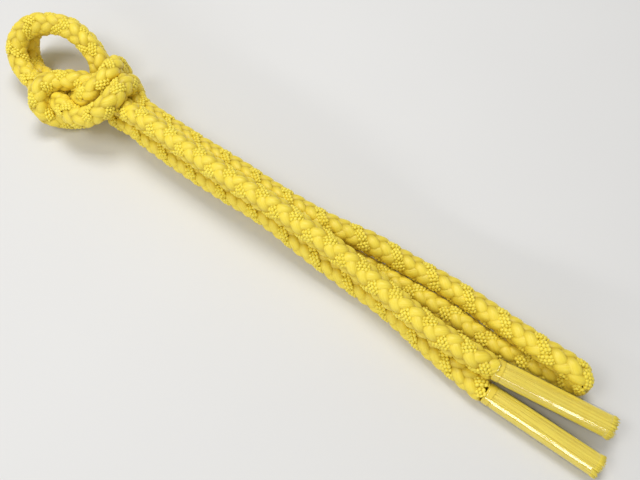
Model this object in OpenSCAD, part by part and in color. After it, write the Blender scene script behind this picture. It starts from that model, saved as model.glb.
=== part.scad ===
// Tied sash cord: a round braided silk cord, folded in four and knotted at one end,
// with a tassel in a clear film sleeve on each of its two ends.
// It lies on a flat surface at Z = 0, with the knot towards -X and the tassels towards +X.

/* [Cord] */
// Diameter of the round braid along the straight runs, in mm
cord_d = 11; // [9:0.1:11]
// Diameter of the braid where the pulled knot squeezes it, in mm
knot_cord_d = 9.6; // [8:0.1:9.6]
// Diameter of the bore in the braided cover that the soft core fills, in mm
bore_d = 6; // [4:0.1:6.5]
// Gap all round between the core and the cover, in mm
core_gap = 0.25; // [0.2:0.05:0.6]
// Sides of the swept tubes
cord_sides = 10; // [8:2:12]

/* [Fold] */
// Height of the upper run over the lower one at the folded end, in mm
fold_rise = 12; // [11.6:0.1:14]

/* [Tassels] */
// Length of a tassel from its neck to its cut end, in mm
tassel_len = 57; // [50:1:60]
// Diameter of the fringe inside its sleeve, in mm
fringe_d = 10.8; // [10.4:0.1:10.9]
// Length of the thread binding at the neck, in mm
binding_len = 4; // [2:0.5:6]
// Diameter of the bound bundle of threads under the binding, in mm
bound_d = 9.2; // [7:0.1:9.6]
// Gap between the bound threads and the binding, in mm
binding_gap = 0.05; // [0.02:0.01:0.2]

/* [Film sleeves] */
// Outer diameter of the rolled clear film, in mm
sleeve_d = 11.8; // [11.6:0.1:12.4]
// Thickness of the rolled film, in mm
film_wall = 0.2; // [0.1:0.05:0.3]
// How far the fringe stands out of its sleeve, in mm
fringe_proud = 3; // [1:0.5:6]

/* [Hidden] */
silk = "#e8cf45";
silk_deep = "#c9a827";
core_gold = "#c8a23c";
clear_film = "#f4f6f2";
bore_r = bore_d / 2;
core_r = bore_r - core_gap;
run_r = cord_d / 2;
knot_r = knot_cord_d / 2;
run_steps = 1;
knot_steps = 2;
taper_rings = 3;
fold_r = fold_rise / 2;
fold_x = 163.6;
fold_z = 6 + fold_r;

// Necks and directions of the two tassels.
neck_a = [135, 0, 14];
neck_b = [138, -9, 6];
dir_a = unit([57, 10, -4]);
dir_b = unit([56, 1.5, 0]);

// The cord's centreline, neck A to neck B, in eight stretches that share their ends.
top_points = [
    [135, 0, 14], [125, -2, 17], [102, -3, 18], [78, -1, 18], [53, 1, 20],
    [29, 1, 23], [1, 0, 26], [-27, -1, 26], [-55, -1, 26.5], [-83, -1, 26.5]];
knot_a_points = [
    [-83, -1, 26.5], [-93, -1, 24.5], [-102, 0, 22], [-111, 1, 20], [-120, 3, 19],
    [-128, 0.8, 22.7], [-136, -4, 23.8], [-143, -9.2, 23.5], [-147, -17, 24], [-146, -24, 18],
    [-141, -25, 11], [-135, -20, 7], [-128, -13, 6], [-127, -4, 6], [-130, 4, 10],
    [-133, 10, 16], [-137, 15, 22], [-144, 17, 27], [-153, 18, 30], [-162, 17, 32],
    [-170, 14, 32], [-178, 9, 31], [-184, 3, 27], [-185, -5, 21], [-180, -10, 16],
    [-172, -13, 13], [-163, -14, 12], [-153, -15, 12], [-144, -15, 14], [-136, -17, 17],
    [-127, -19, 19], [-117.5, -19, 20], [-111, -15, 23], [-104, -9, 29], [-103, -1, 32],
    [-106, 8, 30], [-108, 12.5, 25], [-107, 12.5, 19], [-101.5, 9.5, 16.5], [-93, 8, 17],
    [-83, 7.6, 17.5]];
far_points = [
    [-83, 7.6, 17.5], [-55, 8, 17.5], [-27, 9, 18], [1, 9.5, 18], [29, 12, 17],
    [53, 18, 14], [78, 21.2, 11], [102, 23, 11], [125, 22, 13], [147, 20, 17],
    [fold_x - 6, 20, 6 + fold_rise]];
fold_points = concat(
    [[fold_x - 6, 20, 6 + fold_rise]],
    [for (a = [90 : -30 : -90])
        [fold_x + fold_r * cos(a), 19 + sin(a), fold_z + fold_r * sin(a)]],
    [[fold_x - 6, 17, 6]]);
under_points = [
    [fold_x - 6, 17, 6], [147, 15, 6], [125, 12.5, 6], [102, 13.1, 6], [78, 11.3, 6],
    [53, 9.3, 6], [29, 8, 6], [1, 7, 6], [-27, 7, 6], [-55, 6, 6], [-83, 6, 6]];
knot_b_points = [
    [-83, 6, 6], [-93, 7, 6], [-102, 10, 6], [-110, 14, 8], [-118, 16, 13],
    [-123, 18.5, 18], [-124, 18, 24], [-121, 14, 29], [-117, 7, 31], [-118, -2, 29],
    [-123, -8, 23], [-130, -8, 16], [-138, -7, 11], [-146, -5, 7], [-155, -5, 6],
    [-165, -5, 6], [-174, -6, 6], [-183, -2, 8], [-187.5, 3, 14], [-189, 10, 19],
    [-183, 17, 21], [-174, 23, 21], [-165, 24, 20], [-156, 23.5, 18], [-147, 20.8, 15],
    [-141, 18.8, 10], [-133, 17, 6], [-125, 12, 6], [-118, 5, 6], [-112, -1, 8],
    [-102, -2, 11], [-93, -2, 13], [-83, -3, 13.5]];
near_points = [
    [-83, -3, 13.5], [-55, -3.5, 13.5], [-27, -3, 14], [1, -1.6, 14], [29, -2.3, 11],
    [53, -2.2, 8], [78, -2.2, 6], [102, -5.5, 6], [125, -8, 6], [138, -9, 6]];

// Vector helpers.
function unit(v) = v / norm(v);

// A point on the smooth curve between p1 and p2, whose neighbours are p0 and p3.
function curve_at(p0, p1, p2, p3, t) =
    0.5 * (2 * p1 + (p2 - p0) * t + (2 * p0 - 5 * p1 + 4 * p2 - p3) * t * t
           + (3 * p1 - p0 - 3 * p2 + p3) * t * t * t);

// Points of one stretch, with the direction that it enters and leaves by kept
// from the neighbouring stretches through the points before and after it.
function stretch(points, before, after, steps) =
    let (p = concat([before], points, [after]), last = len(points))
    concat(
        [for (i = [1 : last - 1], s = [0 : steps - 1])
            curve_at(p[i - 1], p[i], p[i + 1], p[i + 2], s / steps)],
        [points[last - 1]]);

// Direction of travel at each sample; the ends take the given directions.
function tangents(q, first, final) =
    [for (i = [0 : len(q) - 1])
        i == 0 ? unit(first) : i == len(q) - 1 ? unit(final) : unit(q[i + 1] - q[i - 1])];

// A side vector at each sample, carried along without twist.
function sides(t) =
    [for (i = 0, n = unit(cross(t[0], [0, 0, 1])); i < len(t);
        i = i + 1, n = i < len(t) ? unit(n - (n * t[i]) * t[i]) : n) n];

// One ring of points round a sample.
function ring(p, t, n, r) =
    let (b = cross(t, n))
    [for (k = [0 : cord_sides - 1])
        let (a = 360 * k / cord_sides) p + r * (cos(a) * n + sin(a) * b)];

// Quads between ring i and ring i + 1 of a wall, split in two triangles.
function wall_faces(base, i, outward) =
    [for (k = [0 : cord_sides - 1])
        let (m = (k + 1) % cord_sides,
             a = base + i * cord_sides + k, b = base + i * cord_sides + m,
             c = a + cord_sides, d = b + cord_sides)
        each outward ? [[a, c, b], [b, c, d]] : [[a, b, c], [b, d, c]]];

// Radius of ring i, which eases from r_end at both ends to r_mid within a few rings.
function eased(i, count, r_mid, r_end) =
    r_mid + (r_end - r_mid) * max(0, 1 - min(i, count - 1 - i) / taper_rings);

// A solid swept along samples: hollow when r_in is above zero.
module swept(q, first, final, r_out, r_in, r_end) {
    t = tangents(q, first, final);
    n = sides(t);
    count = len(q);
    skin = [for (i = [0 : count - 1]) each ring(q[i], t[i], n[i], eased(i, count, r_out, r_end))];
    bore = r_in > 0 ? [for (i = [0 : count - 1]) each ring(q[i], t[i], n[i], r_in)] : [];
    base = len(skin);
    far = (count - 1) * cord_sides;
    walls = [for (i = [0 : count - 2]) each concat(
        wall_faces(0, i, true), r_in > 0 ? wall_faces(base, i, false) : [])];
    solid_ends = [[for (k = [0 : cord_sides - 1]) k],
                  [for (k = [cord_sides - 1 : -1 : 0]) far + k]];
    open_ends = [for (k = [0 : cord_sides - 1])
        let (m = (k + 1) % cord_sides)
        each [[k, m, base + m], [k, base + m, base + k],
              [far + k, base + far + m, far + m],
              [far + k, base + far + k, base + far + m]]];
    polyhedron(concat(skin, bore), concat(walls, r_in > 0 ? open_ends : solid_ends));
}

// One stretch of the cord, given its points and its neighbours' points.
// Where it ends at a tassel, its end face is square to the tassel's own direction.
module cord_stretch(points, before, after, steps, r_out, r_in, first, final) {
    end_r = r_in > 0 ? run_r : r_out;
    last = len(points) - 1;
    q = stretch(points, before, after, steps);
    start_dir = is_undef(first) ? points[1] - before : first;
    end_dir = is_undef(final) ? after - points[last - 1] : final;
    swept(q, start_dir, end_dir, r_out, r_in, end_r);
}

// The seven stretches, each as a cover tube or as the core inside it.
module top_stretch(r_out, r_in)
    cord_stretch(top_points, neck_a + 10 * dir_a, knot_a_points[1], run_steps, r_out, r_in,
        first = -dir_a);
module knot_upper_stretch(r_out, r_in)
    cord_stretch(knot_a_points, top_points[8], far_points[1], knot_steps, r_out, r_in);
module far_stretch(r_out, r_in)
    cord_stretch(far_points, knot_a_points[39], fold_points[1], run_steps, r_out, r_in);
module fold_stretch(r_out, r_in)
    cord_stretch(fold_points, far_points[9], under_points[1], run_steps, r_out, r_in);
module under_stretch(r_out, r_in)
    cord_stretch(under_points, fold_points[7], knot_b_points[1], run_steps, r_out, r_in);
module knot_lower_stretch(r_out, r_in)
    cord_stretch(knot_b_points, under_points[9], near_points[1], knot_steps, r_out, r_in);
module near_stretch(r_out, r_in)
    cord_stretch(near_points, knot_b_points[31], neck_b + 10 * dir_b, run_steps, r_out, r_in,
        final = dir_b);

// Places a tassel piece with its neck at a point and its length along a direction.
module at_neck(neck, dir)
    translate(neck)
        rotate([0, acos(dir[2]), atan2(dir[1], dir[0])])
            children();

// Thread wound round the end of the braid.
module binding(neck, dir)
    color(silk_deep)
        at_neck(neck, dir)
            difference() {
                cylinder(d = fringe_d, h = binding_len, $fn = 48);
                translate([0, 0, -1])
                    cylinder(d = bound_d + 2 * binding_gap, h = binding_len + 2, $fn = 48);
            }

// Loose threads: bound at the neck, full width beyond the binding.
module fringe(neck, dir)
    color(silk)
        at_neck(neck, dir)
            union() {
                cylinder(d = bound_d, h = binding_len + 1, $fn = 48);
                translate([0, 0, binding_len])
                    cylinder(d = fringe_d, h = tassel_len - binding_len, $fn = 48);
            }

// Clear film rolled round the fringe.
module film_sleeve(neck, dir)
    color(clear_film)
        at_neck(neck, dir)
            difference() {
                translate([0, 0, 0.3])
                    cylinder(d = sleeve_d, h = tassel_len - fringe_proud - 0.3, $fn = 64);
                translate([0, 0, -1])
                    cylinder(d = sleeve_d - 2 * film_wall, h = tassel_len + 2, $fn = 64);
            }

// One module per sub-part.
module cord_top_run() { color(silk) top_stretch(run_r, bore_r); }
module cord_knot_upper() { color(silk) knot_upper_stretch(knot_r, bore_r); }
module cord_far_run() { color(silk) far_stretch(run_r, bore_r); }
module cord_fold() { color(silk) fold_stretch(knot_r, bore_r); }
module cord_under_run() { color(silk) under_stretch(run_r, bore_r); }
module cord_knot_lower() { color(silk) knot_lower_stretch(knot_r, bore_r); }
module cord_near_run() { color(silk) near_stretch(run_r, bore_r); }
module core_top_run() { color(core_gold) top_stretch(core_r, 0); }
module core_knot_upper() { color(core_gold) knot_upper_stretch(core_r, 0); }
module core_far_run() { color(core_gold) far_stretch(core_r, 0); }
module core_fold() { color(core_gold) fold_stretch(core_r, 0); }
module core_under_run() { color(core_gold) under_stretch(core_r, 0); }
module core_knot_lower() { color(core_gold) knot_lower_stretch(core_r, 0); }
module core_near_run() { color(core_gold) near_stretch(core_r, 0); }
module binding_a() { binding(neck_a, dir_a); }
module binding_b() { binding(neck_b, dir_b); }
module fringe_a() { fringe(neck_a, dir_a); }
module fringe_b() { fringe(neck_b, dir_b); }
module film_sleeve_a() { film_sleeve(neck_a, dir_a); }
module film_sleeve_b() { film_sleeve(neck_b, dir_b); }

cord_top_run();
cord_knot_upper();
cord_far_run();
cord_fold();
cord_under_run();
cord_knot_lower();
cord_near_run();
core_top_run();
core_knot_upper();
core_far_run();
core_fold();
core_under_run();
core_knot_lower();
core_near_run();
binding_a();
binding_b();
fringe_a();
fringe_b();
film_sleeve_a();
film_sleeve_b();
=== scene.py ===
"""A tied silk sash cord: braided strands, whipped necks, fringes in clear film sleeves."""

import math
import random

import bpy
import numpy as np
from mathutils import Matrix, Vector


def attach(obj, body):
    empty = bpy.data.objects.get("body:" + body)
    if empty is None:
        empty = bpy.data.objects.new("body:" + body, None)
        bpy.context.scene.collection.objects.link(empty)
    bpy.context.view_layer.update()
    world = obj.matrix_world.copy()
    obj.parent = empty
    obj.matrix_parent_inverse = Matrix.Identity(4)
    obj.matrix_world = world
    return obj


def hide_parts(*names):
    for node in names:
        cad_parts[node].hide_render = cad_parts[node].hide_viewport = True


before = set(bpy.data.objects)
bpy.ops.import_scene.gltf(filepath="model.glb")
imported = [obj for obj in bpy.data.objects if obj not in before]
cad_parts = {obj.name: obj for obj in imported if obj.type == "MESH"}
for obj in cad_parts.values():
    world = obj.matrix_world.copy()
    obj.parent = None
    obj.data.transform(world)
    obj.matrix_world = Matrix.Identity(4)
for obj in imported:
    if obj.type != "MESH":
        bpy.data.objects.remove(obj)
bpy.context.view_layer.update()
MM = 0.001

# ---------------------------------------------------------------- camera
CAMERA_HEIGHT = 0.299
CAMERA_X, CAMERA_Y = 0.1197, -0.1114
CAMERA_DOWN = math.radians(63.0)
CAMERA_TURN = math.radians(37.39)
LENS, SENSOR_WIDTH = 35.55, 36.0


def add_camera():
    data = bpy.data.cameras.new("camera")
    data.lens = LENS
    data.sensor_width = SENSOR_WIDTH
    cam = bpy.data.objects.new("camera", data)
    cam.location = (CAMERA_X, CAMERA_Y, CAMERA_HEIGHT)
    cam.rotation_euler = (math.pi / 2 - CAMERA_DOWN, 0.0, CAMERA_TURN)
    bpy.context.scene.collection.objects.link(cam)
    bpy.context.scene.camera = cam


add_camera()

# ---------------------------------------------------------------- the cord's route, in mm
FOLD_X, FOLD_R = 163.6, 6
NECK_A, NECK_B = np.array([135.0, 0, 14]), np.array([138.0, -9, 6])
DIR_A, DIR_B = np.array([57.0, 10, -4]), np.array([56.0, 1.5, 0])
TASSEL_LEN, BINDING_LEN, FRINGE_PROUD = 57.0, 4.0, 3.0
SLEEVE_R = 5.9

TOP_RUN = [
    (135, 0, 14), (125, -2, 17), (102, -3, 18), (78, -1, 18), (53, 1, 20),
    (29, 1, 23), (1, 0, 26), (-27, -1, 26), (-55, -1, 26.5), (-83, -1, 26.5),
]
KNOT_UPPER = [
    (-93, -1, 24.5), (-102, 0, 22), (-111, 1, 20), (-120, 3, 19), (-128, 0.8, 22.7),
    (-136, -4, 23.8), (-143, -9.2, 23.5), (-147, -17, 24), (-146, -24, 18), (-141, -25, 11),
    (-135, -20, 7), (-128, -13, 6), (-127, -4, 6), (-130, 4, 10), (-133, 10, 16),
    (-137, 15, 22), (-144, 17, 27), (-153, 18, 30), (-162, 17, 32), (-170, 14, 32),
    (-178, 9, 31), (-184, 3, 27), (-185, -5, 21), (-180, -10, 16), (-172, -13, 13),
    (-163, -14, 12), (-153, -15, 12), (-144, -15, 14), (-136, -17, 17), (-127, -19, 19),
    (-117.5, -19, 20), (-111, -15, 23), (-104, -9, 29), (-103, -1, 32), (-106, 8, 30),
    (-108, 12.5, 25), (-107, 12.5, 19), (-101.5, 9.5, 16.5), (-93, 8, 17), (-83, 7.6, 17.5),
]
FAR_RUN = [
    (-55, 8, 17.5), (-27, 9, 18), (1, 9.5, 18), (29, 12, 17), (53, 18, 14),
    (78, 21.2, 11), (102, 23, 11), (125, 22, 13), (147, 20, 17), (FOLD_X - 6, 20, 18),
]
FOLD = [
    (FOLD_X + FOLD_R * math.cos(a), 19 + math.sin(a), 6 + FOLD_R + FOLD_R * math.sin(a))
    for a in (math.radians(d) for d in range(90, -91, -30))
]
UNDER_RUN = [
    (FOLD_X - 6, 17, 6), (147, 15, 6), (125, 12.5, 6), (102, 13.1, 6), (78, 11.3, 6),
    (53, 9.3, 6), (29, 8, 6), (1, 7, 6), (-27, 7, 6), (-55, 6, 6), (-83, 6, 6),
]
KNOT_LOWER = [
    (-93, 7, 6), (-102, 10, 6), (-110, 14, 8), (-118, 16, 13), (-123, 18.5, 18),
    (-124, 18, 24), (-121, 14, 29), (-117, 7, 31), (-118, -2, 29), (-123, -8, 23),
    (-130, -8, 16), (-138, -7, 11), (-146, -5, 7), (-155, -5, 6), (-165, -5, 6),
    (-174, -6, 6), (-183, -2, 8), (-187.5, 3, 14), (-189, 10, 19), (-183, 17, 21),
    (-174, 23, 21), (-165, 24, 20), (-156, 23.5, 18), (-147, 20.8, 15), (-141, 18.8, 10),
    (-133, 17, 6), (-125, 12, 6), (-118, 5, 6), (-112, -1, 8), (-102, -2, 11),
    (-93, -2, 13), (-83, -3, 13.5),
]
NEAR_RUN = [
    (-55, -3.5, 13.5), (-27, -3, 14), (1, -1.6, 14), (29, -2.3, 11), (53, -2.2, 8),
    (78, -2.2, 6), (102, -5.5, 6), (125, -8, 6), (138, -9, 6),
]
ROUTE = TOP_RUN + KNOT_UPPER + FAR_RUN + FOLD + UNDER_RUN + KNOT_LOWER + NEAR_RUN


def unit(v):
    return v / np.linalg.norm(v, axis=-1, keepdims=True)


def smooth_line(points, step, before, after):
    """Evenly spaced samples on a smooth curve through the points.

    before and after only set the curve's direction at its two ends."""
    per_span = 40
    p = np.vstack([before, points, after]).astype(float)
    fine = []
    for i in range(1, len(p) - 2):
        t = np.linspace(0, 1, per_span, endpoint=False)[:, None]
        a, b, c, d = p[i - 1], p[i], p[i + 1], p[i + 2]
        fine.append(0.5 * (2 * b + (c - a) * t + (2 * a - 5 * b + 4 * c - d) * t**2
                           + (3 * b - a - 3 * c + d) * t**3))
    fine = np.vstack(fine + [p[-2][None]])
    s = np.r_[0, np.cumsum(np.linalg.norm(np.diff(fine, axis=0), axis=1))]
    count = int(round(s[-1] / step)) + 1
    u = np.linspace(0, s[-1], count)
    return np.stack([np.interp(u, s, fine[:, k]) for k in range(3)], -1), u


def soften(line, passes):
    """Eases the corners of a line, ends kept."""
    for _ in range(passes):
        line[1:-1] += 0.25 * (line[:-2] - 2 * line[1:-1] + line[2:])
    return line


def carried_frame(line, first_side):
    """Two vectors square to the line at each sample, carried along without twist."""
    t = unit(np.gradient(line, axis=0))
    side = np.empty_like(t)
    n = first_side
    for i, d in enumerate(t):
        n = n - (n @ d) * d
        n = n / np.linalg.norm(n)
        side[i] = n
    return side, np.cross(t, side)


STEP = 0.5  # mm between samples of the route
LEAD_IN = 12  # mm from a neck to the point that sets the curve's direction there
SOFTEN_PASSES = 12
line, along = smooth_line(
    ROUTE, STEP, NECK_A + LEAD_IN * unit(DIR_A), NECK_B + LEAD_IN * unit(DIR_B))
line = soften(line, SOFTEN_PASSES)
TO_VIEWER = np.array([0.276, -0.361, 0.891])  # where the braid's pattern is counted from
side, third = carried_frame(line, TO_VIEWER)

# ---------------------------------------------------------------- where the cord presses on itself
CORD_R = 5.95
PRESS_REACH = 2 * CORD_R + 0.6
PRESS_GAP = 0.06
OWN_STRETCH = 24.0  # mm of cord on each side of a sample that don't count as another pass
FAR_AWAY = 1e9
LOWEST = 0.08  # mm above the ground
PLANE_EVERY = 4  # samples from one set of planes to the next
MOST_PLANES = 4


def pressing_planes():
    """For each coarse sample, the planes halfway to the cord's other passes near it."""
    rough = line[::PLANE_EVERY]
    s = along[::PLANE_EVERY]
    found = []
    for i, p in enumerate(rough):
        d = np.linalg.norm(rough - p, axis=1)
        d[np.abs(s - s[i]) < OWN_STRETCH] = FAR_AWAY
        inner = np.r_[False, (d[1:-1] <= d[:-2]) & (d[1:-1] < d[2:]), False]
        near = sorted(np.where(inner & (d < PRESS_REACH))[0], key=lambda j: d[j])[:MOST_PLANES]
        found.append([((p + rough[j]) / 2, (p - rough[j]) / d[j]) for j in near])
    return found


planes = pressing_planes()


def press(verts, sample):
    """Keeps each ring of verts (rings, sides, 3) on its own side of the pressing planes.

    Nothing goes below the ground either."""
    for r in range(len(verts)):
        for mid, away in planes[min(int(round(sample[r] / PLANE_EVERY)), len(planes) - 1)]:
            short = PRESS_GAP - (verts[r] - mid) @ away
            verts[r] += np.clip(short, 0, None)[:, None] * away
    verts[..., 2] = np.maximum(verts[..., 2], LOWEST)
    return verts


def at_sample(values, sample):
    """Values along the line at fractional sample numbers."""
    i = np.clip(sample.astype(int), 0, len(values) - 2)
    f = (sample - i)[:, None]
    return values[i] * (1 - f) + values[i + 1] * f


# ---------------------------------------------------------------- mesh making
def new_mesh(name, verts, faces, uv=None, smooth=True, crown=None):
    """A mesh object from vertices in mm and quads; uv is one pair per vertex.

    crown is one number per vertex for painted shade: 0 takes the full painted shade colour deep in
    the braid, 1 takes none on top of it."""
    verts = np.asarray(verts, dtype=np.float32) * MM
    faces = np.asarray(faces, dtype=np.int32)
    mesh = bpy.data.meshes.new(name)
    mesh.vertices.add(len(verts))
    mesh.vertices.foreach_set("co", verts.ravel())
    mesh.loops.add(faces.size)
    mesh.loops.foreach_set("vertex_index", faces.ravel())
    mesh.polygons.add(len(faces))
    mesh.polygons.foreach_set("loop_start", np.arange(0, faces.size, 4, dtype=np.int32))
    mesh.update(calc_edges=True)
    if uv is not None:
        layer = mesh.uv_layers.new(name="UVMap")
        layer.data.foreach_set("uv", np.asarray(uv, dtype=np.float32)[faces.ravel()].ravel())
    if crown is not None:
        layer = mesh.attributes.new("crown", "FLOAT", "POINT")
        layer.data.foreach_set("value", np.asarray(crown, dtype=np.float32))
    mesh.polygons.foreach_set("use_smooth", [smooth] * len(faces))
    mesh.validate()
    obj = bpy.data.objects.new(name, mesh)
    bpy.context.scene.collection.objects.link(obj)
    return obj


class Bundle:
    """Collects many swept tubes, each with an even number of sides, into one mesh."""

    def __init__(self):
        self.verts, self.uv, self.crown, self.faces, self.count = [], [], [], [], 0

    def tube(self, rings, u, crown=1.0):
        """rings is (n, sides, 3); u is each ring's place along the tube."""
        n, sides = rings.shape[:2]
        # One painted shade mask value per vertex; the default of 1 paints no shade.
        self.crown.append(np.broadcast_to(crown, (n, sides)).ravel())
        self.verts.append(rings.reshape(-1, 3))
        v = np.tile(np.arange(sides) / sides, n)
        self.uv.append(np.stack([np.repeat(u, sides), v], -1))
        i = np.arange(n - 1)[:, None] * sides
        k = np.arange(sides)[None, :]
        m = (k + 1) % sides
        walls = np.stack([i + k, i + m, i + sides + m, i + sides + k], -1).reshape(-1, 4)
        fan = np.array([(0, j, j + 1, j + 2) for j in range(1, sides - 2, 2)])
        ends = [fan[:, ::-1], fan + (n - 1) * sides]
        self.faces.append(np.vstack([walls, *ends]) + self.count)
        self.count += n * sides

    def build(self, name):
        return new_mesh(name, np.vstack(self.verts), np.vstack(self.faces),
                        np.vstack(self.uv), crown=np.concatenate(self.crown))


def tube_rings(centre, first, second, radius, sides):
    """Round rings of the given radius in the plane of two vectors."""
    angle = 2 * math.pi * np.arange(sides) / sides
    c, s = np.cos(angle)[None, :, None], np.sin(angle)[None, :, None]
    radius = np.broadcast_to(radius, (len(centre),))
    return centre[:, None] + radius[:, None, None] * (c * first[:, None] + s * second[:, None])


# ---------------------------------------------------------------- the braid
STRANDS_EACH_WAY = 6
BEADED_EVERY = 3
LEAD = 41.0  # mm of cord for one full turn of a strand
PHASE = 3.0
FACING = math.radians(45)
# A strand's distance from the middle, half width and half thickness, tucked and floating.
RHO_TUCK, RHO_FLOAT = 3.2, 4.35
TUCK_HALF_W, FLOAT_HALF_W = 1.8, 3.2
TUCK_HALF_T, FLOAT_HALF_T = 0.8, 1.8
FLOAT_LAG = 0.15  # how far past the middle of a float its highest point lies


def ease(x, low, high):
    """0 below low, 1 above high, smooth between."""
    t = np.clip((x - low) / (high - low), 0, 1)
    return t * t * (3 - 2 * t)


def strand_path(number, way, sample):
    """Centre, direction, outward normal and place in the over-and-under cycle.

    place runs from -2 to 2 along the strand: it floats on top from -1 to 1."""
    s = np.interp(sample, np.arange(len(along)), along)
    theta = 2 * math.pi * (number / STRANDS_EACH_WAY + way * (s - PHASE) / LEAD)
    middle = 0.5 if way > 0 else 2.5
    place = (way * (6 * theta / math.pi - middle) + 2) % 4 - 2
    lift = (np.cos(math.pi * (place - FLOAT_LAG) / 2) + 1) / 2
    rho = RHO_TUCK + (RHO_FLOAT - RHO_TUCK) * lift
    turn = theta - FACING
    out = (np.cos(turn)[:, None] * at_sample(side, sample)
           + np.sin(turn)[:, None] * at_sample(third, sample))
    centre = at_sample(line, sample) + rho[:, None] * out
    direction = unit(np.gradient(centre, axis=0))
    normal = unit(out - np.sum(out * direction, -1, keepdims=True) * direction)
    return centre, np.cross(direction, normal), normal, place


def is_beaded(number):
    return number % BEADED_EVERY == 0


FLAT_SIDES = 18
RIB_DEPTH = 0.035
EDGE_DROOP = 0.075
# Painted shade: how dark the tucks are painted, and how much darker the float edges are painted.
DEEP_SHADE, EDGE_SHADE = 0.1, 0.92


def flat_strand(bundle, number, way):
    """A puffed flat bundle of filaments: each float is a shell, broad at its far end."""
    sample = np.arange(0, len(line) - 1, 2.0)
    centre, across, normal, place = strand_path(number, way, sample)
    swell = ease(place, -1.5, 0.05) * (1 - ease(place, 0.75, 1.4))
    half_w = TUCK_HALF_W + (FLOAT_HALF_W - TUCK_HALF_W) * swell
    half_t = TUCK_HALF_T + (FLOAT_HALF_T - TUCK_HALF_T) * swell
    angle = 2 * math.pi * np.arange(FLAT_SIDES) / FLAT_SIDES
    x, y = np.cos(angle), np.sin(angle)
    ribs = 1 + RIB_DEPTH * np.where(np.arange(FLAT_SIDES) % 2 == 0, 1, -1)
    w = half_w[:, None] * x
    t = half_t[:, None] * np.sign(y) * np.abs(y) ** 0.9 * ribs - EDGE_DROOP * w**2
    rings = centre[:, None] + w[..., None] * across[:, None] + t[..., None] * normal[:, None]
    # Painted shade: tucks, float edges and the hidden underside get the painted shade colour.
    top = y > -0.1
    crown = (DEEP_SHADE + 0.9 * swell[:, None]) * (1 - EDGE_SHADE * np.abs(x) ** 5) * top
    bundle.tube(press(rings, sample), sample * STEP / 10, crown)


BEADED_YARNS = 3
BEAD_PITCH = 1.65
BEAD_R = 1.02
BEAD_SIDES = 8
YARN_GAP = 1.55
YARN_RISE, YARN_ARCH = 0.95, 0.14  # how high a floating yarn stands, less towards the edges
SLIP, SLIP_WAVE = 0.12, 2.3  # how unevenly the beads follow each other
WAIST = 0.86  # 1 would narrow a yarn to nothing between two beads


def beaded_strand(bundle, number, way):
    """Hard twisted yarns side by side, whose turns stand up as small round beads."""
    fine = np.arange(0, len(line) - 1, 0.5)
    place = strand_path(number, way, fine)[3]
    sample = fine[(np.abs(place) < 1.25) | (np.arange(len(fine)) % 5 == 0)]
    centre, across, normal, place = strand_path(number, way, sample)
    lift = ease(np.cos(math.pi * place / 2), -0.2, 0.7)
    travel = np.r_[0, np.cumsum(np.linalg.norm(np.diff(centre, axis=0), axis=1))]
    angle = 2 * math.pi * np.arange(BEAD_SIDES) / BEAD_SIDES
    for y in range(BEADED_YARNS):
        shift = (y - (BEADED_YARNS - 1) / 2) * YARN_GAP * (0.6 + 0.4 * lift)
        rise = (YARN_RISE - YARN_ARCH * (shift * shift)) * lift
        slip = SLIP * np.sin(travel / SLIP_WAVE + 2 * y + number)
        turn = 2 * ((travel / BEAD_PITCH + 0.5 * y + slip) % 1) - 1
        bead = np.sqrt(1 - WAIST * turn**2)
        radius = (BEAD_R * bead * (0.75 + 0.25 * lift))[:, None] * np.ones(BEAD_SIDES)
        c = centre + shift[:, None] * across + rise[:, None] * normal
        spokes = (np.cos(angle)[None, :, None] * across[:, None]
                  + np.sin(angle)[None, :, None] * normal[:, None])
        # Painted shade: darker between the beads and where the yarns tuck under.
        crown = (0.35 + 0.65 * lift * ease(bead, 0.4, 0.85))[:, None]
        bundle.tube(press(c[:, None] + radius[..., None] * spokes, sample), travel / 10, crown)


def braid():
    """All twelve strands, as one mesh of flat ones and one of beaded ones."""
    flat, beaded = Bundle(), Bundle()
    for way in (1, -1):
        for number in range(STRANDS_EACH_WAY):
            if is_beaded(number):
                beaded_strand(beaded, number, way)
            else:
                flat_strand(flat, number, way)
    return flat.build("silk_flat_strands"), beaded.build("silk_beaded_strands")


CORE_R, CORE_SIDES = 3.0, 12


def core():
    """Soft yarn core that fills the middle of the braid."""
    bundle = Bundle()
    sample = np.arange(0, len(line) - 1, 4.0)
    rings = tube_rings(at_sample(line, sample), at_sample(side, sample),
                       at_sample(third, sample), CORE_R, CORE_SIDES)
    bundle.tube(press(rings, sample), sample * STEP / 10)
    return bundle.build("core_yarn")


# ---------------------------------------------------------------- tassels
def tassel_axes(direction):
    """Directions along a tassel, across it and up from it."""
    d = unit(direction)
    across = unit(np.cross(d, (0, 0, 1.0)))
    return d, across, np.cross(across, d)


def ring_points(centre, across, up, radius, sides):
    """One ring of points round a centre."""
    angle = 2 * math.pi * np.arange(sides) / sides
    return centre + radius * (np.cos(angle)[:, None] * across + np.sin(angle)[:, None] * up)


WOUND_TURNS, WOUND_STEPS = 7, 24
WOUND_R, WOUND_THREAD_R = 4.95, 0.28 * 1.15
WOUND_MARGIN = 0.35  # mm of the binding left bare at each end
DRUM_R = 4.75


def whipping(name, neck, direction):
    """Thread wound round the end of the braid, turn beside turn, on a drum that fills it."""
    d, across, up = tassel_axes(direction)
    t = np.linspace(0, 1, WOUND_TURNS * WOUND_STEPS)
    a = 2 * math.pi * WOUND_TURNS * t
    out = np.cos(a)[:, None] * across + np.sin(a)[:, None] * up
    reach = BINDING_LEN - 2 * WOUND_MARGIN
    c = neck + (WOUND_MARGIN + reach * t)[:, None] * d + WOUND_R * out
    bundle = Bundle()
    bundle.tube(tube_rings(c, out, np.broadcast_to(d, c.shape), WOUND_THREAD_R, 6), t * 10)
    drum = [ring_points(neck + z * d, across, up, DRUM_R, 24) for z in (0.05, BINDING_LEN)]
    bundle.tube(np.array(drum), np.array([0, 1.0]))
    return bundle.build(name)


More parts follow.
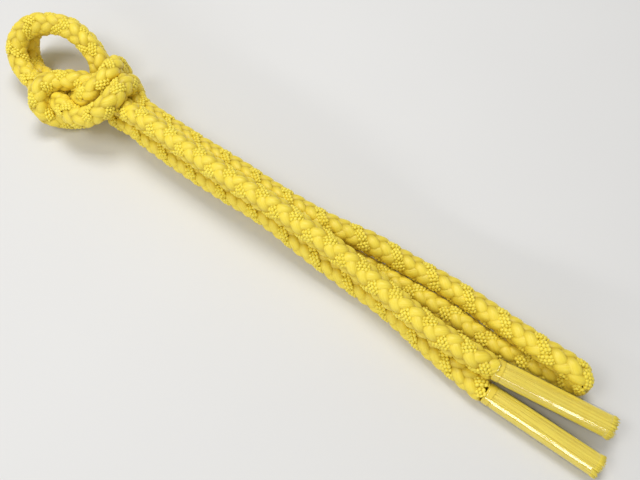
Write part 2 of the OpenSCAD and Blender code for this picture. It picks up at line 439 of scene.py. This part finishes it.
# Layers of loose threads: distance from the tassel's middle and number of threads.
THREAD_LAYERS = ((4.98, 74), (4.55, 60), (3.9, 40), (3.0, 26), (1.8, 14), (0.5, 4))
FULL_LENGTH_R = 4  # layers inside this radius are only made near the cut end, where they show
SHORT_LENGTH = 8
FLARE_LEN, FLARE = 4, 0.10
SQUEEZE_LEN, SQUEEZE = 5, 0.35
THREAD_LOWEST = 0.05


def fringe(name, neck, direction, seed):
    """Straight loose threads round a solid heart, from the binding to an unevenly cut end."""
    rng = random.Random(seed)
    d, across, up = tassel_axes(direction)
    bundle = Bundle()
    start, stop = BINDING_LEN - 0.6, TASSEL_LEN
    heart = [ring_points(neck + z * d, across, up, r, 20)
             for z, r in ((start, 4.2), (start + 4, 4.85), (stop - 3.5, 4.85), (stop - 1.6, 4.5))]
    bundle.tube(np.array(heart), np.linspace(0, 5, 4))
    for layer_r, threads in THREAD_LAYERS:
        full = layer_r > FULL_LENGTH_R
        for k in range(threads):
            phi0 = 2 * math.pi * (k + rng.uniform(-0.3, 0.3)) / threads
            end = stop + rng.uniform(-1.3, 0.4)
            begin = start if full else stop - SHORT_LENGTH
            z = np.linspace(begin, end, 22 if full else 8)
            sway = rng.uniform(-0.05, 0.05)
            phi = phi0 + sway * np.sin((z - begin) / rng.uniform(9, 20) + rng.uniform(0, 6))
            flare = np.clip((z - (stop - FLARE_LEN)) / FLARE_LEN, 0, 1) ** 1.5
            squeeze = np.clip(1 - (z - start) / SQUEEZE_LEN, 0, 1)
            r = layer_r * (1 + FLARE * flare * rng.uniform(0.2, 1.3)) - SQUEEZE * squeeze
            r = r + rng.uniform(-0.05, 0.08)
            out = np.cos(phi)[:, None] * across + np.sin(phi)[:, None] * up
            beside = -np.sin(phi)[:, None] * across + np.cos(phi)[:, None] * up
            c = neck + z[:, None] * d + r[:, None] * out
            rings = tube_rings(c, out, beside, rng.uniform(0.22, 0.28), 6)
            rings[..., 2] = np.maximum(rings[..., 2], THREAD_LOWEST)
            bundle.tube(rings, z / 10)
    return bundle.build(name)


# Flats along a rolled film: degrees up from its near side, half width, start and end.
FLATS = {
    "a": [(45.2, 0.8, 22, 54), (57, 0.7, 1, 12), (120, 1.3, 5, 40)],
    "b": [(46.5, 0.85, 3, 54), (110, 1.2, 20, 50)],
}


def flat_radius(angle, z, flats):
    """Radius of the sleeve's skin where it runs flat, or its full radius elsewhere."""
    r = SLEEVE_R - 0.02
    widest = 0.6  # radians from the middle of a flat, past any flat's edge
    for degrees, half, low, high in flats:
        off = (angle - math.radians(degrees) + math.pi) % (2 * math.pi) - math.pi
        if abs(off) < widest:
            chord = math.sqrt(r * r - half * half) / math.cos(off)
            here = float(ease(z, low - 3, low + 1) * (1 - ease(z, high - 1, high + 3)))
            r = min(r, chord * here + r * (1 - here))
    return r


FILM_TURNS, FILM_START = 1.14, math.radians(200)
FILM_AROUND, FILM_STEPS = 160, 60
FILM_THICK, FILM_OVERLAP, FILM_LOWEST = 0.05, 0.08, 0.04
CREASES = 4


def film_sleeve(name, neck, direction, seed, flats):
    """Clear film rolled a little more than once round the fringe, with long flats."""
    rng = random.Random(seed)
    d, across, up = tassel_axes(direction)
    z0, z1 = 0.3, TASSEL_LEN - FRINGE_PROUD
    around, steps = FILM_AROUND, FILM_STEPS
    creases = [(rng.uniform(0, 2 * math.pi), rng.uniform(5, 12), rng.uniform(0.005, 0.02))
               for _ in range(CREASES)]
    inner, outer = [], []
    for i in range(steps + 1):
        z = z0 + (z1 - z0) * i / steps
        row_in, row_out = [], []
        for k in range(around + 1):
            t = k / around
            a = FILM_START + 2 * math.pi * FILM_TURNS * t
            r = flat_radius(a, z, flats) - 0.10 + FILM_OVERLAP * t
            for phase, wave, depth in creases:
                r += depth * math.cos(a * 2 + phase) * math.sin(z / wave + phase)
            r = min(r, SLEEVE_R - 0.01)
            out = math.cos(a) * across + math.sin(a) * up
            row_in.append(neck + z * d + (r - FILM_THICK) * out)
            row_out.append(neck + z * d + r * out)
        inner.append(row_in)
        outer.append(row_out)
    n = around + 1
    verts = np.vstack([np.array(outer).reshape(-1, 3), np.array(inner).reshape(-1, 3)])
    verts[:, 2] = np.maximum(verts[:, 2], FILM_LOWEST)
    off = (steps + 1) * n
    faces = []
    for i in range(steps):
        for k in range(around):
            a = i * n + k
            faces.append((a, a + n, a + n + 1, a + 1))
            faces.append((off + a, off + a + 1, off + a + n + 1, off + a + n))
        for k in (0, around):
            a = i * n + k
            faces.append((a, off + a, off + a + n, a + n) if k == 0
                         else (a, a + n, off + a + n, off + a))
    for k in range(around):
        a, b = k, steps * n + k
        faces.append((a, a + 1, off + a + 1, off + a))
        faces.append((b, off + b, off + b + 1, b + 1))
    u = np.tile(np.linspace(0, 1, n), steps + 1)
    v = np.repeat(np.linspace(0, 1, steps + 1), n)
    uv = np.tile(np.stack([u, v], -1), (2, 1))
    return new_mesh(name, verts, faces, uv)


# ---------------------------------------------------------------- materials
SILK_LIGHT, SILK_DARK = (0.96, 0.775, 0.085), (0.88, 0.655, 0.03)
BEAD_LIGHT, BEAD_DARK = (0.99, 0.84, 0.10), (0.90, 0.68, 0.03)
# Painted shade colour for the braid's crevices, tucks and undersides.
SILK_PAINTED_SHADE = (0.40, 0.25, 0.002)
CORE_LIGHT, CORE_DARK = (0.78, 0.52, 0.02), (0.62, 0.38, 0.01)
FRINGE_LIGHT, FRINGE_DARK = (0.98, 0.82, 0.12), (0.92, 0.72, 0.07)
FILM_TINT, FILM_ROUGHNESS, FILM_IOR = (1.0, 1.0, 0.995), 0.09, 1.8
FLOOR_COLOUR, FLOOR_ROUGHNESS = (0.765, 0.76, 0.75), 0.75


def material(name):
    """A material with nothing in it but its output node."""
    m = bpy.data.materials.new(name)
    m.use_nodes = True
    tree = m.node_tree
    tree.nodes.clear()
    return m, tree, tree.nodes.new("ShaderNodeOutputMaterial")


def node(tree, kind, **inputs):
    """A node with some sockets set; an underscore stands for a space in a socket's name."""
    made = tree.nodes.new("ShaderNode" + kind)
    for socket, value in inputs.items():
        made.inputs[socket.replace("_", " ")].default_value = value
    return made


def noise_ramp(tree, noise, stops):
    """Colours along a noise; stops are two pairs of place and colour."""
    ramp = node(tree, "ValToRGB")
    for element, (place, colour) in zip(ramp.color_ramp.elements, stops):
        element.position = place
        element.color = (*colour, 1)
    tree.links.new(noise.outputs["Fac"], ramp.inputs["Fac"])
    return ramp


def noise_relief(tree, noise, strength, distance, shader):
    """A bump from a noise on the shader's normal."""
    relief = node(tree, "Bump", Strength=strength, Distance=distance)
    tree.links.new(noise.outputs["Fac"], relief.inputs["Height"])
    tree.links.new(relief.outputs["Normal"], shader.inputs["Normal"])


def silk(name, light, dark, lines, bump, roughness=0.42, sheen=0.05):
    """Filament silk: fine lines along each bundle, with a painted shade colour in crevices, tucks
    and undersides where the painted shade mask is low.
    """
    m, tree, out = material(name)
    shader = node(tree, "BsdfPrincipled", Roughness=roughness, Sheen_Weight=sheen,
                  Sheen_Roughness=0.4, Specular_IOR_Level=0.4)
    uv = node(tree, "UVMap")
    scale = node(tree, "Mapping", Scale=(0.6, lines, 1))
    tree.links.new(uv.outputs["UV"], scale.inputs["Vector"])
    noise = node(tree, "TexNoise", Scale=3.0, Detail=3.0)
    tree.links.new(scale.outputs["Vector"], noise.inputs["Vector"])
    ramp = noise_ramp(tree, noise, ((0.25, dark), (0.62, light)))
    crown = node(tree, "Attribute")
    crown.attribute_name = "crown"
    # Painted shade: mixes towards the painted shade colour where the mask is low.
    depth = node(tree, "Mix")
    depth.data_type = "RGBA"
    depth.inputs["A"].default_value = (*SILK_PAINTED_SHADE, 1)
    tree.links.new(crown.outputs["Fac"], depth.inputs["Factor"])
    tree.links.new(ramp.outputs["Color"], depth.inputs["B"])
    tree.links.new(depth.outputs["Result"], shader.inputs["Base Color"])
    noise_relief(tree, noise, bump, 0.0002, shader)
    tree.links.new(shader.outputs["BSDF"], out.inputs["Surface"])
    return m


def clear_film(name):
    """Thin clear film: see-through face on, glossy towards grazing on its front faces."""
    m, tree, out = material(name)
    clear = node(tree, "BsdfTransparent", Color=(*FILM_TINT, 1))
    gloss = node(tree, "BsdfGlossy", Roughness=FILM_ROUGHNESS)
    fresnel = node(tree, "Fresnel", IOR=FILM_IOR)
    place = node(tree, "TexCoord")
    noise = node(tree, "TexNoise", Scale=120.0, Detail=1.0)
    tree.links.new(place.outputs["Object"], noise.inputs["Vector"])
    noise_relief(tree, noise, 0.5, 0.0003, gloss)
    face = node(tree, "NewGeometry")
    front = node(tree, "Math")
    front.operation = "SUBTRACT"
    front.inputs[0].default_value = 1.0
    tree.links.new(face.outputs["Backfacing"], front.inputs[1])
    shine = node(tree, "Math")
    shine.operation = "MULTIPLY"
    tree.links.new(fresnel.outputs["Fac"], shine.inputs[0])
    tree.links.new(front.outputs["Value"], shine.inputs[1])
    mix = node(tree, "MixShader")
    tree.links.new(shine.outputs["Value"], mix.inputs["Fac"])
    tree.links.new(clear.outputs["BSDF"], mix.inputs[1])
    tree.links.new(gloss.outputs["BSDF"], mix.inputs[2])
    tree.links.new(mix.outputs["Shader"], out.inputs["Surface"])
    return m


def plain(name, colour, roughness):
    """A matte surface with a faint cloudiness."""
    m, tree, out = material(name)
    shader = node(tree, "BsdfPrincipled", Roughness=roughness)
    noise = node(tree, "TexNoise", Scale=60.0)
    ramp = noise_ramp(tree, noise, ((0.0, [0.97 * c for c in colour]), (1.0, colour)))
    tree.links.new(ramp.outputs["Color"], shader.inputs["Base Color"])
    tree.links.new(shader.outputs["BSDF"], out.inputs["Surface"])
    return m


def dress(obj, mat):
    obj.data.materials.append(mat)
    return obj


# ---------------------------------------------------------------- build
flat_strands, beaded_strands = braid()
dress(flat_strands, silk("silk_filament", SILK_LIGHT, SILK_DARK, 14, 0.5))
dress(beaded_strands, silk("silk_twisted", BEAD_LIGHT, BEAD_DARK, 3, 0.3, 0.35))
core_yarn = dress(core(), silk("core_yarn", CORE_LIGHT, CORE_DARK, 6, 0.4, 0.8, 0.1))
COVERS = ["cord_top_run", "cord_knot_upper", "cord_far_run", "cord_fold", "cord_under_run",
          "cord_knot_lower", "cord_near_run"]
for piece in (flat_strands, beaded_strands):
    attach(piece, "cord")
for cover in COVERS:
    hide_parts(cover)
    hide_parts(cover.replace("cord_", "core_"))
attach(core_yarn, "cord")

binding_silk = silk("binding_silk", SILK_LIGHT, SILK_DARK, 4, 0.3)
fringe_silk = silk("fringe_silk", FRINGE_LIGHT, FRINGE_DARK, 3, 0.25, 0.4)
film = clear_film("clear_film")
for letter, neck, direction, seed in (("a", NECK_A, DIR_A, 3), ("b", NECK_B, DIR_B, 8)):
    wound = dress(whipping(f"wound_thread_{letter}", neck, direction), binding_silk)
    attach(wound, "cord")
    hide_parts(f"binding_{letter}")
    loose = dress(fringe(f"loose_threads_{letter}", neck, direction, seed), fringe_silk)
    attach(loose, "cord")
    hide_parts(f"fringe_{letter}")
    sleeve = dress(
        film_sleeve(f"rolled_film_{letter}", neck, direction, seed + 1, FLATS[letter]), film)
    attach(sleeve, f"sleeve_{letter}")
    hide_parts(f"film_sleeve_{letter}")


# ---------------------------------------------------------------- stage and light
FLOOR_HALF = 3.0
WORLD_COLOUR, WORLD_STRENGTH = (1.0, 0.995, 0.98), 0.37
# Name, place, size along and across, in metres, and power in watts.
LIGHTS = (
    ("main", (-0.20, 0.27, 0.95), 0.40, 0.40, 4.7),
    ("low_left", (-0.30, -0.45, 0.90), 0.35, 0.35, 2.5),
    ("near_side", (0.1, -0.9, 0.37), 1.3, 0.07, 2.6),
)


def add_floor():
    h = FLOOR_HALF
    verts = [(-h, -h, 0), (h, -h, 0), (h, h, 0), (-h, h, 0)]
    floor = new_mesh("floor", np.array(verts) / MM, [(0, 1, 2, 3)], smooth=False)
    dress(floor, plain("pale_paper", FLOOR_COLOUR, FLOOR_ROUGHNESS))


def add_area(name, place, size_x, size_y, power):
    """A soft light that faces the middle of the bundle."""
    data = bpy.data.lights.new(name, "AREA")
    data.energy = power
    data.shape = "RECTANGLE"
    data.size = size_x
    data.size_y = size_y
    lamp = bpy.data.objects.new(name, data)
    lamp.location = place
    lamp.rotation_euler = (-Vector(place)).to_track_quat("-Z", "Y").to_euler()
    bpy.context.scene.collection.objects.link(lamp)


def add_world():
    world = bpy.data.worlds.new("studio")
    bpy.context.scene.world = world
    world.use_nodes = True
    back = world.node_tree.nodes["Background"]
    back.inputs["Color"].default_value = (*WORLD_COLOUR, 1)
    back.inputs["Strength"].default_value = WORLD_STRENGTH


add_floor()
add_world()
for light in LIGHTS:
    add_area(*light)
bpy.context.scene.view_settings.view_transform = "Standard"
